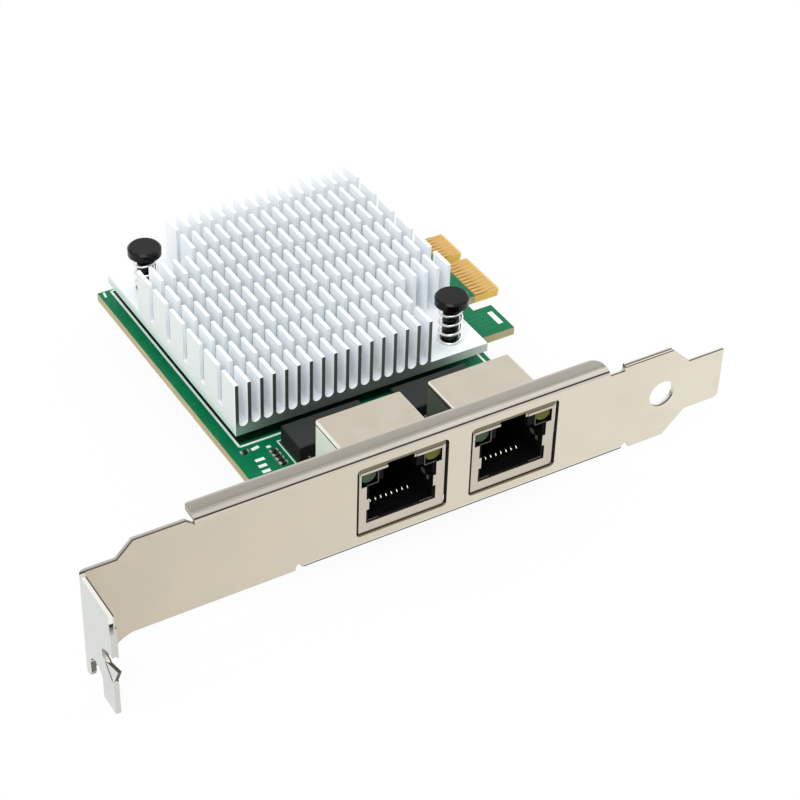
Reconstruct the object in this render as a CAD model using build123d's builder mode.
from build123d import *
import os

os.makedirs("parts", exist_ok=True)

# A two-port network interface card, in millimetres. X runs along the bracket
# from its mounting tab, Y runs from the ports back over the board, and Z is up
# from the component side of the board. The origin is the axis of the screw
# notch, on the outer face of the mounting tab.

# Bracket: one folded sheet
sheet = 0.86
bend_inside = 0.4
bracket_length = 120.02
bracket_width = 18.42
screw_from_face = 4.2
screw_from_edge = 1.2
tail_shoulder = 7.27
tail_width = 10.19
tail_rise = 4.11
tail_upper_corner = 1.8
tail_lower_corner = 1.0
shoulder_run = 4.2
tab_reach = 10.7
tab_height = 15.6
tab_chamfer_end = 9.06
notch_radius = 2.21
finger_drop = 4.3
outer_finger_drop = 4.4
finger_tip_radius = 1.2
flare_foot = 3.2
flare_end = 8.0
flare_bow = 0.55
slit_reach = 3.7
slit_low = 4.8
slit_high = 6.4
slit_mouth = 7.4
slit_crest_in = 1.1
slit_crest = 7.7
lip_out = 0.25
lip_bottom = 7.0
lip_top = 13.0
wing_in = 2.6
wing_root = 4.6
wing_foot = 2.15
wing_out = 0.8
wing_corner = 4.0
relief_width = 1.5
relief_height = 1.2
upper_flange_start = 19.3
upper_flange_from_end = 24.0
upper_flange_depth = 4.1
lower_flange_start = 38.1
lower_flange_from_end = 20.0
lower_flange_depth = 3.0
lower_flange_drop = 0.5
finger_hole_radius = 2.55
finger_hole_from_end = 12.5
finger_hole_height = 9.25
window_clearance = 0.4
window_bottom = 2.1
window_height = 14.15
window_corner = 0.8
ear_width = 7.0
ear_from_face = 7.0
ear_left_gap = 5.6
ear_right_gap = 2.75
collar_radius = 2.1

# Circuit board
board_above_edge = 2.1
board_thickness = 1.6
board_setback = 2.5
board_left = 38.5
board_width = 52.7
board_depth = 77.2
foot_reach = 9.0
foot_front = 34.3
foot_width = 7.9
gap_width = 3.75
shelf_reach = 5.2
tongue_reach = 8.25
near_contacts_width = 11.25
key_width = 1.9
far_contacts_width = 7.25
tongue_chamfer = 0.6
contact_pitch = 1.0
contact_width = 0.7
contact_length = 4.6
contact_from_tip = 0.4
plating = 0.05
near_contact_count = 11
far_contact_count = 7

# Screws between the bracket ears and the board
screw_radius = 1.25
screw_clearance = 0.1
screw_head_radius = 2.35
screw_head_height = 1.7
screw_recess_width = 0.8
screw_recess_depth = 1.1

# Jacks
port_from_tab = 56.2
port_pitch = 21.25
jack_width = 16.2
jack_recess = 0.4
jack_depth = 14.3
jack_height = 12.3
jack_collar_drop = 1.3
collar_board_gap = 0.2
shield_thickness = 0.25
shield_corner = 0.5
mouth_width = 13.0
mouth_bottom = 4.2
mouth_shoulder = 11.9
mouth_top = 14.6
mouth_brow_margin = 0.6
latch_window_width = 5.0
latch_window_top = 15.4
latch_offset = -0.25
mouth_tab_height = 2.2
mouth_tab_bottom = 7.0
mouth_tab_reach = 0.5
plug_width = 12.0
plug_floor = 0.9
plug_height = 7.7
plug_depth = 12.4
latch_channel_width = 6.2
latch_channel_top = 15.2
latch_channel_depth = 9.0
light_pocket_width = 3.4
light_pocket_height = 2.75
light_radius = 1.5
light_flat = 0.75
light_inset = 0.25
light_length = 4.6
light_from_wall = 1.85
light_leg = 0.45
light_leg_spacing = 1.27
wire_count = 8
wire_pitch = 1.016
wire_width = 0.35
wire_slot_clearance = 0.1
wire_front = 3.8
wire_bend = 0.8
wire_rise = 3.6
wire_run = 6.3
wire_tail_near = 8.6
wire_tail_far = 11.1
wire_tail_drop = 1.2
peg_radius = 1.5
peg_spacing = 11.43
peg_from_front = 6.1
shield_tab_width = 1.5
shield_tab_from_front = 10.0
hole_clearance = 0.1

# Magnetics modules behind the jacks
module_width = 15.0
module_depth = 6.8
module_offset = -1.1
module_from_face = 18.8
module_height = 3.7
module_standoff = 0.1
module_leads_per_side = 10
module_lead_pitch = 1.3
module_lead_width = 0.4
module_lead_reach = 1.0
module_lead_thickness = 0.25
module_lead_height = 1.5

# Controller, its thermal pad and the parts under the heat sink
chip_size = 19.0
chip_height = 2.0
pad_size = 17.0
pad_thickness = 0.3
parts_from_chip = 4.0
part_spacing = 3.0
chip_part_length = 1.0
chip_part_width = 0.5
chip_part_height = 0.5
resistor_from_left = 6.9
resistor_from_face = 22.2
resistor_pitch = 1.15
resistor_length = 1.6
resistor_width = 0.7
lone_resistor_from_left = 2.5
lone_resistor_from_face = 26.0
crystal_length = 3.2
crystal_width = 2.5
crystal_height = 0.8
flash_length = 4.9
flash_width = 3.9
flash_height = 1.7
flash_pitch = 1.27
flash_lead_width = 0.5
flash_lead_reach = 1.0
inductor_size = 4.0
inductor_height = 1.8

# Heat sink, extruded and cross cut
sink_left = 40.5
sink_front = 28.1
sink_depth = 50.8
sink_base = 1.75
sink_height = 10.6
fin_count = 22
fin_thickness = 0.65
fin_pitch = 2.34
row_count = 8
row_gap = 1.6
row_ridge = 1.2
lug_fins = 5
lug_rows = 2

# Push pins and their springs
pin_right_inset_x = 5.2
pin_right_inset_y = 4.3
pin_left_inset_x = 4.2
pin_left_inset_y = 7.5
pin_radius = 1.5
pin_clearance = 0.1
pin_cap_radius = 3.05
pin_cap_height = 1.6
pin_cap_edge = 0.35
pin_spring_length = 7.8
pin_barb_radius = 2.0
pin_barb_gap = 0.1
pin_barb_length = 1.3
pin_tip_radius = 0.9
pin_split = 0.8
spring_radius = 2.0
spring_wire = 0.45
spring_turns = 4
spring_wire_sides = 4
spring_seat_gap = 0.03

# Levels and lines that the pieces share
face_y = screw_from_face
plate_back_y = face_y + sheet
edge_z = screw_from_edge
bracket_top = edge_z + bracket_width
bend_outside = bend_inside + sheet
board_bottom = edge_z + board_above_edge
board_top = board_bottom + board_thickness
board_front = face_y + board_setback
board_back = board_front + board_depth
board_right = board_left + board_width
flange_z = edge_z - lower_flange_drop
shelf_right = board_right + shelf_reach
tongue_tip = shelf_right + tongue_reach
near_contacts_start = face_y + foot_front + foot_width + gap_width
key_start = near_contacts_start + near_contacts_width
far_contacts_start = key_start + key_width
tongue_end = far_contacts_start + far_contacts_width
ear_y = face_y + ear_from_face
jack_front = face_y + jack_recess
jack_back = jack_front + jack_depth
jack_top = board_top + jack_height
collar_back = board_front - collar_board_gap
ports = {"left": port_from_tab, "right": port_from_tab + port_pitch}
module_front = face_y + module_from_face
sink_width = (fin_count - 1) * fin_pitch + fin_thickness
sink_front_y = face_y + sink_front
sink_back_y = sink_front_y + sink_depth
sink_right = sink_left + sink_width
sink_bottom = board_top + chip_height + pad_thickness
lug_top = sink_bottom + sink_base
sink_top = sink_bottom + sink_height
sink_centre = (sink_left + sink_width / 2, sink_front_y + sink_depth / 2)
pins = {
    "front": (sink_right - pin_right_inset_x, sink_front_y + pin_right_inset_y),
    "back": (sink_left + pin_left_inset_x, sink_back_y - pin_left_inset_y),
}
pin_cap_bottom = lug_top + pin_spring_length
barb_top = board_bottom - pin_barb_gap
screws = [
    (ports["left"] - jack_width / 2 - ear_left_gap, ear_y),
    (ports["right"] + jack_width / 2 + ear_right_gap, ear_y),
]


def save(piece, name):
    """Label a finished piece and write it as its own STEP file."""
    piece.label = name
    export_step(piece, f"parts/{name}.step")


# Bracket. The face plate is cut from the sheet, the mounting tab is folded
# forward at one end, and two flanges are folded back along the edges.
tail_start = bracket_length - tail_shoulder
shoulder_start = tail_start - shoulder_run
tail_bottom = edge_z + tail_rise
tail_top = tail_bottom + tail_width
tab_top = edge_z + tab_height
tab_front = face_y - tab_reach
foot_z = edge_z - finger_drop
upper_bend_z = bracket_top - bend_outside
lower_bend_z = flange_z + bend_outside
flange_bend_y = face_y + bend_outside
tab_bend_y = face_y - bend_inside
flare_middle = (flare_foot + flare_end) / 2
wing_start = Vector(0, tab_front + wing_in, edge_z + wing_root)
wing_end = Vector(0, tab_front, edge_z + wing_foot)
wing_tip = Vector(wing_out, tab_front, edge_z + wing_corner)
upper_flange_end = bracket_length - upper_flange_from_end
lower_flange_end = bracket_length - lower_flange_from_end
window_width = jack_width + 2 * window_clearance


def draw_fold(centre, start_angle):
    """Draw the quarter ring that a fold in the sheet leaves."""
    with BuildLine() as ring:
        outer = CenterArc(centre, bend_outside, start_angle, 90)
        inner = CenterArc(centre, bend_inside, start_angle, 90)
        Line(outer @ 0, inner @ 0)
        Line(outer @ 1, inner @ 1)
    make_face(ring.edges())


with BuildPart() as bracket:
    with BuildSketch(Plane.XZ.offset(-face_y)) as plate_outline:
        with BuildLine():
            Polyline(
                (flare_end, edge_z),
                (lower_flange_start, edge_z),
                (lower_flange_start, lower_bend_z),
                (lower_flange_end, lower_bend_z),
                (lower_flange_end, edge_z),
                (shoulder_start, edge_z),
                (tail_start, tail_bottom),
                (bracket_length, tail_bottom),
                (bracket_length, tail_top),
                (tail_start, tail_top),
                (shoulder_start, bracket_top),
                (upper_flange_end + 2 * relief_width, bracket_top),
                (upper_flange_end + 2 * relief_width, upper_bend_z),
                (upper_flange_start, upper_bend_z),
                (upper_flange_start - relief_width, bracket_top),
                (tab_chamfer_end, bracket_top),
                (tab_chamfer_end - (bracket_top - tab_top), tab_top),
                (bend_outside, tab_top),
                (bend_outside, foot_z),
                (flare_foot, foot_z),
            )
            ThreePointArc(
                (flare_foot, foot_z),
                (flare_middle - flare_bow, edge_z - finger_drop / 2 + flare_bow),
                (flare_end, edge_z),
            )
        make_face()
        tail_corners = plate_outline.vertices().group_by(Axis.X)[-1].sort_by(Axis.Y)
        fillet(tail_corners[0], radius=tail_lower_corner)
        fillet(tail_corners[1], radius=tail_upper_corner)
        with Locations(
            (lower_flange_start - relief_width / 2, edge_z),
            (lower_flange_end + relief_width / 2, edge_z),
        ):
            SlotOverall(2 * relief_height, relief_width, rotation=90, mode=Mode.SUBTRACT)
        with Locations(*[(x, edge_z + window_bottom + window_height / 2) for x in ports.values()]):
            RectangleRounded(window_width, window_height, window_corner, mode=Mode.SUBTRACT)
        with Locations((bracket_length - finger_hole_from_end, edge_z + finger_hole_height)):
            Circle(finger_hole_radius, mode=Mode.SUBTRACT)
    extrude(amount=-sheet)

    # The folded tab, with its open screw notch between two fingers and a slit
    # that frees the longer finger
    with BuildSketch(Plane.XY.offset(foot_z)):
        draw_fold((bend_outside, tab_bend_y), 90)
    extrude(amount=tab_top - foot_z)
    with BuildSketch(Plane.YZ) as tab_outline:
        with BuildLine():
            Polyline(
                (tab_bend_y, foot_z),
                (tab_bend_y, tab_top),
                (tab_front, tab_top),
                (tab_front, edge_z - outer_finger_drop),
                (-notch_radius, edge_z - outer_finger_drop),
                (-notch_radius, 0),
                (notch_radius, 0),
                (notch_radius, foot_z),
                close=True,
            )
        make_face()
        finger_tips = tab_outline.vertices().group_by(Axis.Y)
        fillet(finger_tips[1].sort_by(Axis.X)[0], radius=finger_tip_radius)
        fillet(finger_tips[0], radius=(tab_reach - screw_from_face - notch_radius) * 0.4)
        Circle(notch_radius, mode=Mode.SUBTRACT)
        with BuildLine():
            Polyline(
                (tab_front, edge_z + slit_mouth),
                (tab_front + slit_crest_in, edge_z + slit_crest),
                (tab_front + slit_reach, edge_z + slit_high),
                (tab_front + slit_reach, edge_z + slit_low),
                (wing_start.Y, wing_start.Z),
                (wing_end.Y, wing_end.Z),
                close=True,
            )
        make_face(mode=Mode.SUBTRACT)
    extrude(amount=sheet)

    # Stiffening lip along the free edge of the tab
    with BuildSketch(Plane.XY.offset(edge_z + lip_bottom)):
        with Locations((sheet, tab_front)):
            Rectangle(lip_out, sheet, align=(Align.MIN, Align.MIN))
    extrude(amount=lip_top - lip_bottom)

    # Wing, the corner of the longer finger folded inwards below the slit
    wing_edge = wing_end - wing_start
    wing_plane = Plane(wing_start, x_dir=wing_edge, z_dir=(wing_tip - wing_start).cross(wing_edge))
    with BuildSketch(wing_plane):
        with BuildLine():
            Polyline(
                (0, 0),
                (wing_edge.length, 0),
                wing_plane.to_local_coords(wing_tip),
                close=True,
            )
        make_face()
    extrude(amount=sheet)

    # Upper flange, folded back over the jacks
    with BuildSketch(Plane.YZ.offset(upper_flange_start)):
        draw_fold((flange_bend_y, upper_bend_z), 90)
        with Locations((flange_bend_y, bracket_top)):
            Rectangle(
                upper_flange_depth - bend_outside,
                sheet,
                align=(Align.MIN, Align.MAX),
            )
    extrude(amount=upper_flange_end - upper_flange_start)
    flange_corners = bracket.edges().filter_by(Axis.Z).group_by(Axis.Y)[-1].sort_by(Axis.X)
    fillet(flange_corners[-1], radius=upper_flange_depth / 2)
    flange_corners = bracket.edges().filter_by(Axis.Z).group_by(Axis.Y)[-1].sort_by(Axis.X)
    fillet(flange_corners[0], radius=upper_flange_depth / 5)

    # Lower flange, with two ears whose tapped collars carry the board
    with BuildSketch(Plane.YZ.offset(lower_flange_start)):
        draw_fold((flange_bend_y, lower_bend_z), 180)
        with Locations((flange_bend_y, flange_z)):
            Rectangle(
                lower_flange_depth - bend_outside,
                sheet,
                align=(Align.MIN, Align.MIN),
            )
    extrude(amount=lower_flange_end - lower_flange_start)
    with BuildSketch(Plane.XY.offset(flange_z)):
        with Locations(*screws):
            Circle(ear_width / 2)
            Rectangle(
                ear_width,
                ear_from_face - bend_outside,
                align=(Align.CENTER, Align.MAX),
            )
    extrude(amount=sheet)
    with BuildSketch(Plane.XY.offset(flange_z + sheet)):
        with Locations(*screws):
            Circle(collar_radius)
    extrude(amount=board_bottom - flange_z - sheet)
    with BuildSketch(Plane.XY.offset(flange_z)):
        with Locations(*screws):
            Circle(screw_radius)
    extrude(amount=board_bottom - flange_z, mode=Mode.SUBTRACT)
save(bracket.part, "bracket")

# Pan head screws, driven down through the board into the ears
with BuildPart() as bracket_screws:
    with BuildSketch(Plane.XY.offset(flange_z)):
        with Locations(*screws):
            Circle(screw_radius)
    extrude(amount=board_top - flange_z)
    with BuildSketch(Plane.XY.offset(board_top)):
        with Locations(*screws):
            Circle(screw_head_radius)
    extrude(amount=screw_head_height)
    head_rims = bracket_screws.edges().filter_by(GeomType.CIRCLE).group_by(Axis.Z)[-1]
    chamfer(head_rims, length=screw_head_height / 3)
    with BuildSketch(Plane.XY.offset(board_top + screw_head_height)):
        with Locations(*screws):
            Rectangle(2 * screw_radius, screw_recess_width)
            Rectangle(screw_recess_width, 2 * screw_radius)
    extrude(amount=-screw_recess_depth, mode=Mode.SUBTRACT)
save(bracket_screws.part, "bracket_screws")

# Places of the jack's wires, pegs and shield tabs, from the middle of a port
wire_offsets = [(i - (wire_count - 1) / 2) * wire_pitch for i in range(wire_count)]
wire_tails = [
    (offset, jack_front + (wire_tail_near if i % 2 else wire_tail_far))
    for i, offset in enumerate(wire_offsets)
]
peg_places = [(side * peg_spacing / 2, jack_front + peg_from_front) for side in (-1, 1)]
shield_tab_places = [
    (side * (jack_width - shield_thickness) / 2, jack_front + shield_tab_from_front)
    for side in (-1, 1)
]
leg_x = jack_width / 2 - shield_thickness - light_pocket_width / 2
leg_y = jack_back - shield_thickness - 2 * light_leg
leg_places = [
    (side * leg_x + leg * light_leg_spacing / 2, leg_y)
    for side in (-1, 1) for leg in (-1, 1)
]

# Circuit board, with the foot, the gap and the keyed edge connector
with BuildPart() as circuit_board:
    with BuildSketch(Plane.XY.offset(board_bottom)) as board_outline:
        with BuildLine():
            Polyline(
                (board_left, board_front),
                (board_right, board_front),
                (board_right, face_y + foot_front),
                (board_right + foot_reach, face_y + foot_front),
                (board_right + foot_reach, face_y + foot_front + foot_width),
                (shelf_right, face_y + foot_front + foot_width),
                (shelf_right, near_contacts_start),
                (tongue_tip, near_contacts_start),
                (tongue_tip, key_start),
                (shelf_right, key_start),
                (shelf_right, far_contacts_start),
                (tongue_tip, far_contacts_start),
                (tongue_tip, tongue_end),
                (shelf_right, tongue_end),
                (shelf_right, board_back),
                (board_left, board_back),
                close=True,
            )
        make_face()
        tongue_corners = board_outline.vertices().group_by(Axis.X)[-1]
        chamfer(tongue_corners, length=tongue_chamfer)
        with Locations(*screws):
            Circle(screw_radius + screw_clearance, mode=Mode.SUBTRACT)
        with Locations(*pins.values()):
            Circle(pin_radius + pin_clearance, mode=Mode.SUBTRACT)
        for port_x in ports.values():
            with Locations(*[(port_x + x, y) for x, y in wire_tails + leg_places]):
                Rectangle(wire_width * 2, wire_width * 2, mode=Mode.SUBTRACT)
            with Locations(*[(port_x + x, y) for x, y in peg_places]):
                Circle(peg_radius + hole_clearance, mode=Mode.SUBTRACT)
            with Locations(*[(port_x + x, y) for x, y in shield_tab_places]):
                Rectangle(
                    shield_thickness + 4 * hole_clearance,
                    shield_tab_width + 4 * hole_clearance,
                    mode=Mode.SUBTRACT,
                )
    extrude(amount=board_thickness)
    tongue_edges = circuit_board.edges().filter_by(Axis.Y).group_by(Axis.X)[-1]
    chamfer(tongue_edges, length=board_thickness / 4)
save(circuit_board.part, "circuit_board")

# Gold contacts of the edge connector, on both faces of the tongue
near_middle = (near_contacts_start + key_start) / 2
far_middle = (far_contacts_start + tongue_end) / 2
contact_x = tongue_tip - board_thickness / 4 - contact_from_tip - contact_length / 2
for name, level, thickness in (
    ("edge_contacts_top", board_top, plating),
    ("edge_contacts_bottom", board_bottom, -plating),
):
    with BuildPart() as edge_contacts:
        with BuildSketch(Plane.XY.offset(level)):
            with Locations((contact_x, near_middle)):
                with GridLocations(1, contact_pitch, 1, near_contact_count):
                    Rectangle(contact_length, contact_width)
            with Locations((contact_x, far_middle)):
                with GridLocations(1, contact_pitch, 1, far_contact_count):
                    Rectangle(contact_length, contact_width)
        extrude(amount=thickness)
    save(edge_contacts.part, name)

# Jacks. Each is a black housing in a folded shield, with eight spring wires
# and a light in each upper corner.
shield_inner_front = jack_front + shield_thickness
shield_inner_back = jack_back - shield_thickness
shield_inner_top = jack_top - shield_thickness
housing_width = jack_width - 2 * shield_thickness
collar_bottom = board_top - jack_collar_drop
plug_bottom = board_top + plug_floor
plug_top = plug_bottom + plug_height
pocket_bottom = edge_z + mouth_shoulder
slot_floor = board_top + plug_floor / 3
wire_level = slot_floor + wire_width / 2
light_centre_z = edge_z + mouth_top - light_flat - light_inset / 5


def side_outline(front, back, top, bottom, collar_low, collar_rear):
    """Draw a jack's side outline, whose collar hangs in front of the board."""
    with BuildLine() as outline:
        Polyline(
            (front, collar_low),
            (collar_rear, collar_low),
            (collar_rear, bottom),
            (back, bottom),
            (back, top),
            (front, top),
            close=True,
        )
    make_face(outline.edges())


for side, port_x in ports.items():
    with BuildPart() as jack_shield:
        with BuildSketch(Plane.YZ.offset(port_x)):
            side_outline(jack_front, jack_back, jack_top, board_top, collar_bottom, collar_back)
        extrude(amount=jack_width / 2, both=True)
        top_edges = jack_shield.edges().group_by(Axis.Z)[-1].filter_by(Axis.Y)
        rear_edges = jack_shield.edges().filter_by(Axis.Z).group_by(Axis.Y)[-1]
        fillet(top_edges + rear_edges, radius=shield_corner)
        with BuildSketch(Plane.YZ.offset(port_x)):
            side_outline(
                shield_inner_front,
                shield_inner_back,
                shield_inner_top,
                board_top,
                collar_bottom + shield_thickness,
                collar_back - shield_thickness,
            )
        extrude(amount=housing_width / 2, both=True, mode=Mode.SUBTRACT)
        # The mouth in the front face, with its brow for the lights and its latch window
        with BuildSketch(Plane.XZ.offset(-jack_front)):
            with Locations((port_x, edge_z + mouth_bottom)):
                Rectangle(mouth_width, mouth_top - mouth_bottom, align=(Align.CENTER, Align.MIN))
            with Locations((port_x, edge_z + mouth_shoulder)):
                Rectangle(
                    jack_width - 2 * mouth_brow_margin,
                    mouth_top - mouth_shoulder,
                    align=(Align.CENTER, Align.MIN),
                )
            with Locations((port_x + latch_offset, edge_z + mouth_shoulder)):
                Rectangle(
                    latch_window_width,
                    latch_window_top - mouth_shoulder,
                    align=(Align.CENTER, Align.MIN),
                )
            for edge in (-1, 1):
                with Locations((port_x + edge * mouth_width / 2, edge_z + mouth_tab_bottom)):
                    Rectangle(
                        2 * mouth_tab_reach,
                        mouth_tab_height,
                        align=(Align.CENTER, Align.MIN),
                        mode=Mode.SUBTRACT,
                    )
        extrude(amount=-shield_thickness, mode=Mode.SUBTRACT)
        with BuildSketch(Plane.XY.offset(board_top)):
            for x, y in shield_tab_places:
                with Locations((port_x + x, y)):
                    Rectangle(shield_thickness, shield_tab_width)
        extrude(amount=-board_thickness - wire_tail_drop)
    save(jack_shield.part, f"jack_shield_{side}")

    with BuildPart() as jack_housing:
        with BuildSketch(Plane.YZ.offset(port_x)):
            side_outline(
                shield_inner_front,
                shield_inner_back,
                shield_inner_top,
                board_top,
                collar_bottom + shield_thickness,
                collar_back - shield_thickness,
            )
        extrude(amount=housing_width / 2, both=True)
        # Cavity for the plug, and above it the channel for the plug's latch
        with BuildSketch(Plane.XZ.offset(-shield_inner_front)):
            with Locations((port_x, plug_bottom)):
                Rectangle(plug_width, plug_height, align=(Align.CENTER, Align.MIN))
        extrude(amount=-plug_depth, mode=Mode.SUBTRACT)
        with BuildSketch(Plane.XZ.offset(-shield_inner_front)):
            with Locations((port_x + latch_offset, plug_top)):
                Rectangle(
                    latch_channel_width,
                    edge_z + latch_channel_top - plug_top,
                    align=(Align.CENTER, Align.MIN),
                )
        extrude(amount=-latch_channel_depth, mode=Mode.SUBTRACT)
        # A pocket along each upper corner holds a light and its legs
        with BuildSketch(Plane.XZ.offset(-shield_inner_front)):
            for edge in (-1, 1):
                pocket_x = edge * (housing_width - light_pocket_width) / 2
                with Locations((port_x + pocket_x, pocket_bottom)):
                    Rectangle(
                        light_pocket_width,
                        light_pocket_height,
                        align=(Align.CENTER, Align.MIN),
                    )
        extrude(amount=-jack_depth, mode=Mode.SUBTRACT)
        with BuildSketch(Plane.XY.offset(pocket_bottom)):
            for x, y in leg_places:
                with Locations((port_x + x, y)):
                    Rectangle(light_leg * 2, light_leg * 2 + hole_clearance)
        extrude(amount=-jack_height - board_thickness, mode=Mode.SUBTRACT)
        # Slots in the floor for the wires, and holes for their tails
        slot_width = wire_width + 2 * wire_slot_clearance
        slot_length = wire_tail_far + wire_width - wire_front + slot_width
        with BuildSketch(Plane.XY.offset(slot_floor)):
            for offset in wire_offsets:
                with Locations((port_x + offset, jack_front + wire_front - slot_width)):
                    Rectangle(slot_width, slot_length, align=(Align.CENTER, Align.MIN))
        extrude(amount=plug_floor, mode=Mode.SUBTRACT)
        with BuildSketch(Plane.XY.offset(slot_floor)):
            for x, y in wire_tails:
                with Locations((port_x + x, y)):
                    Rectangle(slot_width, slot_width)
        extrude(amount=-plug_floor, mode=Mode.SUBTRACT)
        with BuildSketch(Plane.XY.offset(board_top)):
            for x, y in peg_places:
                with Locations((port_x + x, y)):
                    Circle(peg_radius)
        extrude(amount=-board_thickness - wire_tail_drop / 2)
    save(jack_housing.part, f"jack_housing_{side}")

    # Each wire rises at its front bend, and its free end slopes up and back.
    with BuildPart() as jack_contacts:
        half = wire_width / 2
        for offset, tail_y in wire_tails:
            bend_y = jack_front + wire_front
            end_y = bend_y + wire_run
            end_z = wire_level + wire_rise
            with BuildSketch(Plane.YZ.offset(port_x + offset)):
                with BuildLine():
                    Polyline(
                        (tail_y + half, board_bottom - wire_tail_drop),
                        (tail_y + half, wire_level + half),
                        (bend_y + half, wire_level + half),
                        (bend_y + half, wire_level + wire_bend - half),
                        (end_y, end_z),
                        (end_y - half, end_z + half),
                        (bend_y - half, wire_level + wire_bend),
                        (bend_y - half, wire_level - half),
                        (tail_y - half, wire_level - half),
                        (tail_y - half, board_bottom - wire_tail_drop),
                        close=True,
                    )
                make_face()
            extrude(amount=half, both=True)
    save(jack_contacts.part, f"jack_contacts_{side}")

    for colour, edge in (("green", -1), ("yellow", 1)):
        light_x = port_x + edge * (housing_width / 2 - light_from_wall)
        with BuildPart() as jack_light:
            with BuildSketch(Plane.XZ.offset(-shield_inner_front - light_inset)) as lens:
                with Locations((light_x, light_centre_z)):
                    Circle(light_radius)
                with Locations((light_x, light_centre_z + light_flat)):
                    Rectangle(
                        2 * light_radius,
                        light_radius,
                        align=(Align.CENTER, Align.MIN),
                        mode=Mode.SUBTRACT,
                    )
            extrude(amount=-light_length)
            # Two legs run back along the pocket and down behind the housing
            leg_front = shield_inner_front + light_inset + light_length
            for x, y in leg_places:
                if x * edge > 0:
                    with BuildSketch(Plane.YZ.offset(port_x + x)):
                        with BuildLine():
                            Polyline(
                                (leg_front, light_centre_z),
                                (leg_front, light_centre_z + light_leg),
                                (y + light_leg / 2, light_centre_z + light_leg),
                                (y + light_leg / 2, board_bottom - wire_tail_drop),
                                (y - light_leg / 2, board_bottom - wire_tail_drop),
                                (y - light_leg / 2, light_centre_z),
                                close=True,
                            )
                        make_face()
                    extrude(amount=light_leg / 2, both=True)
        save(jack_light.part, f"{colour}_light_{side}")

# Magnetics modules, one behind each jack, with gull wing leads front and back
lead_shoulder = module_lead_reach / 3
lead_heel = module_lead_reach - 2 * module_lead_thickness
for side, port_x in ports.items():
    module_x = port_x + module_offset
    with BuildPart() as magnetics:
        with BuildSketch(Plane.XY.offset(board_top + module_standoff)):
            with Locations((module_x, module_front + module_depth / 2)):
                Rectangle(module_width, module_depth)
        extrude(amount=module_height)
        chamfer(
            magnetics.edges().group_by(Axis.Z)[-1],
            length=module_height / 15,
        )
    save(magnetics.part, f"magnetics_{side}")

    with BuildPart() as leads:
        for rear in (0, 1):
            wall_y = module_front + rear * module_depth
            out = 1 if rear else -1
            for index in range(module_leads_per_side):
                lead_x = module_x + (index - (module_leads_per_side - 1) / 2) * module_lead_pitch
                with BuildSketch(Plane.YZ.offset(lead_x)):
                    with BuildLine():
                        Polyline(
                            (wall_y, board_top + module_lead_height),
                            (wall_y + out * lead_shoulder, board_top + module_lead_height),
                            (wall_y + out * module_lead_reach, board_top),
                            (wall_y + out * lead_heel, board_top),
                            (wall_y, board_top + module_lead_height - module_lead_thickness),
                            close=True,
                        )
                    make_face()
                extrude(amount=module_lead_width / 2, both=True)
    save(leads.part, f"magnetics_leads_{side}")

# Controller chip and the pad that carries its heat up to the heat sink
with BuildPart() as controller_chip:
    with BuildSketch(Plane.XY.offset(board_top)):
        with Locations(sink_centre):
            Rectangle(chip_size, chip_size)
    extrude(amount=chip_height)
    chamfer(controller_chip.edges().group_by(Axis.Z)[-1], length=chip_height / 10)
save(controller_chip.part, "controller_chip")

with BuildPart() as thermal_pad:
    with BuildSketch(Plane.XY.offset(board_top + chip_height)):
        with Locations(sink_centre):
            Rectangle(pad_size, pad_size)
    extrude(amount=pad_thickness)
save(thermal_pad.part, "thermal_pad")

# Small parts on the board, beside the left magnetics module and round the chip
parts_out = chip_size / 2 + parts_from_chip
with BuildPart() as chip_resistors:
    with BuildSketch(Plane.XY.offset(board_top)):
        with Locations((board_left + resistor_from_left, face_y + resistor_from_face)):
            with GridLocations(1, resistor_pitch, 1, 4):
                Rectangle(resistor_length, resistor_width)
        with Locations((board_left + lone_resistor_from_left, face_y + lone_resistor_from_face)):
            Rectangle(resistor_length, resistor_width)
    extrude(amount=chip_part_height)
save(chip_resistors.part, "chip_resistors")

with BuildPart() as chip_capacitors:
    with BuildSketch(Plane.XY.offset(board_top)):
        for across in (-parts_out, parts_out):
            with Locations((sink_centre[0] + across, sink_centre[1])):
                with GridLocations(1, part_spacing, 1, 6):
                    Rectangle(chip_part_length, chip_part_width)
    extrude(amount=chip_part_height)
save(chip_capacitors.part, "chip_capacitors")

with BuildPart() as underside_capacitors:
    with BuildSketch(Plane.XY.offset(board_bottom)):
        with Locations(sink_centre):
            with GridLocations(part_spacing, part_spacing, 4, 4):
                Rectangle(chip_part_length, chip_part_width)
    extrude(amount=-chip_part_height)
save(underside_capacitors.part, "underside_capacitors")

with BuildPart() as crystal:
    with BuildSketch(Plane.XY.offset(board_top)):
        with Locations((sink_centre[0], sink_centre[1] - parts_out)):
            Rectangle(crystal_length, crystal_width)
    extrude(amount=crystal_height)
    chamfer(crystal.edges().filter_by(Axis.Z), length=crystal_width / 8)
save(crystal.part, "crystal")

with BuildPart() as flash_chip:
    flash_place = (sink_centre[0] + chip_size / 2, sink_centre[1] + parts_out)
    with BuildSketch(Plane.XY.offset(board_top)):
        with Locations(flash_place):
            with GridLocations(flash_pitch, 1, 4, 1):
                Rectangle(flash_lead_width, flash_width + 2 * flash_lead_reach)
    extrude(amount=flash_height / 3)
    with BuildSketch(Plane.XY.offset(board_top)):
        with Locations(flash_place):
            Rectangle(flash_length, flash_width)
    extrude(amount=flash_height)
save(flash_chip.part, "flash_chip")

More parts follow.
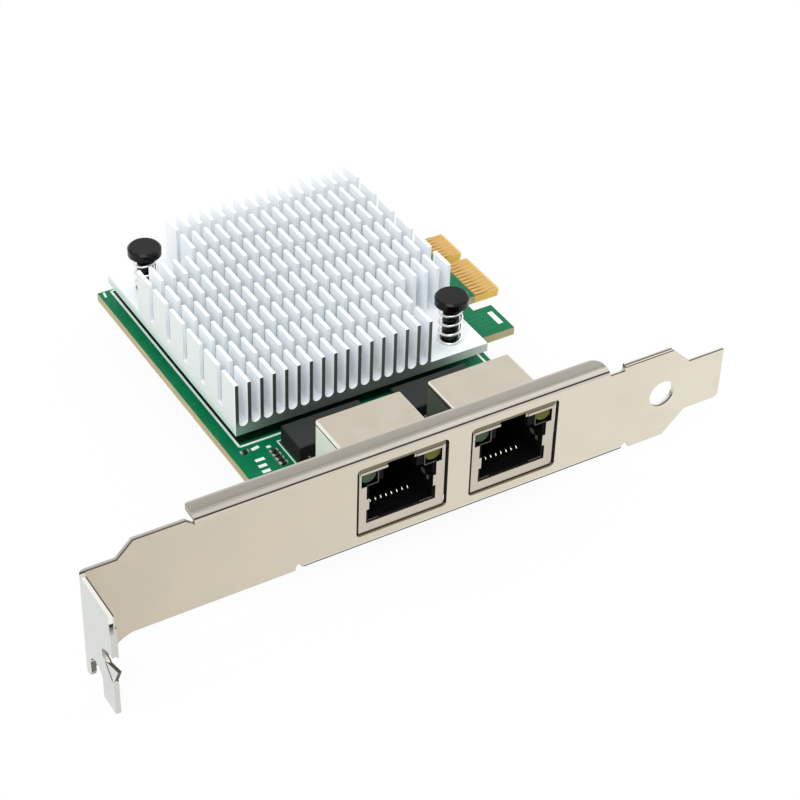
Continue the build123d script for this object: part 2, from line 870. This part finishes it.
with BuildPart() as power_inductor:
    with BuildSketch(Plane.XY.offset(board_top)):
        with Locations((sink_centre[0] - chip_size / 2, sink_centre[1] + parts_out)):
            Rectangle(inductor_size, inductor_size)
    extrude(amount=inductor_height)
    chamfer(power_inductor.edges().filter_by(Axis.Z), length=inductor_size / 8)
save(power_inductor.part, "power_inductor")

# Heat sink. Round-bottomed valleys are extruded front to back, cross cuts
# part the fins into rows, and two corners are milled down to lugs for the pins.
valley_width = fin_pitch - fin_thickness
row_length = (sink_depth - (row_count - 1) * row_gap) / row_count
row_pitch = row_length + row_gap
fin_height = sink_top - lug_top
valley_cut = fin_height + valley_width
ridge_top = lug_top + row_ridge
lug_x = (fin_count - lug_fins - 1) * fin_pitch + fin_thickness
lug_y = lug_rows * row_pitch
with BuildPart() as heat_sink:
    with BuildSketch(Plane.XZ.offset(-sink_front_y)):
        with Locations((sink_left, sink_bottom)):
            Rectangle(sink_width, sink_height, align=(Align.MIN, Align.MIN))
        with Locations((sink_left + sink_width / 2, lug_top + valley_cut / 2)):
            with GridLocations(fin_pitch, 1, fin_count - 1, 1):
                SlotOverall(valley_cut, valley_width, rotation=90, mode=Mode.SUBTRACT)
    extrude(amount=-sink_depth)
    with BuildSketch(Plane.XY.offset(ridge_top)):
        with Locations(sink_centre):
            with GridLocations(1, row_pitch, 1, row_count - 1):
                Rectangle(2 * sink_width, row_gap)
    extrude(amount=sink_height, mode=Mode.SUBTRACT)
    with BuildSketch(Plane.XY.offset(lug_top)):
        with Locations((sink_left + lug_x, sink_front_y + lug_y)):
            Rectangle(sink_width, sink_depth, align=(Align.MIN, Align.MAX))
        with Locations((sink_right - lug_x, sink_back_y - lug_y)):
            Rectangle(sink_width, sink_depth, align=(Align.MAX, Align.MIN))
    extrude(amount=sink_height, mode=Mode.SUBTRACT)
    with BuildSketch(Plane.XY.offset(sink_bottom)):
        with Locations(*pins.values()):
            Circle(pin_radius + pin_clearance)
    extrude(amount=sink_base, mode=Mode.SUBTRACT)
save(heat_sink.part, "heat_sink")

# Push pins of black plastic. Split barbs hold below the board while the
# spring round each shank lifts the cap.
barb_bottom = barb_top - pin_barb_length
for place, (pin_x, pin_y) in pins.items():
    with BuildPart() as push_pin:
        with BuildSketch(Plane((pin_x, pin_y, 0), x_dir=(1, 0, 0), z_dir=(0, -1, 0))):
            with BuildLine():
                Polyline(
                    (0, barb_bottom),
                    (pin_tip_radius, barb_bottom),
                    (pin_barb_radius, barb_top - pin_barb_gap),
                    (pin_barb_radius, barb_top),
                    (pin_radius, barb_top),
                    (pin_radius, pin_cap_bottom),
                    (pin_cap_radius, pin_cap_bottom),
                    (pin_cap_radius, pin_cap_bottom + pin_cap_height - pin_cap_edge),
                    (pin_cap_radius - pin_cap_edge, pin_cap_bottom + pin_cap_height),
                    (0, pin_cap_bottom + pin_cap_height),
                    close=True,
                )
            make_face()
        revolve(axis=Axis((pin_x, pin_y, 0), (0, 0, 1)))
        with BuildSketch(Plane.XY.offset(barb_bottom)):
            with Locations((pin_x, pin_y)):
                Rectangle(pin_split, 4 * pin_radius)
        extrude(amount=pin_barb_length + board_thickness * 0.8, mode=Mode.SUBTRACT)
    save(push_pin.part, f"push_pin_{place}")

    coil_height = pin_spring_length - spring_wire - 2 * spring_seat_gap
    with BuildPart() as pin_spring:
        coil_start = (pin_x, pin_y, lug_top + spring_wire / 2 + spring_seat_gap)
        with BuildLine(Plane(coil_start)) as coil:
            Helix(pitch=coil_height / spring_turns, height=coil_height, radius=spring_radius)
        with BuildSketch(Plane(coil.line @ 0, z_dir=coil.line % 0)):
            RegularPolygon(spring_wire / 2, spring_wire_sides)
        sweep(path=coil.line, is_frenet=True)
    save(pin_spring.part, f"pin_spring_{place}")
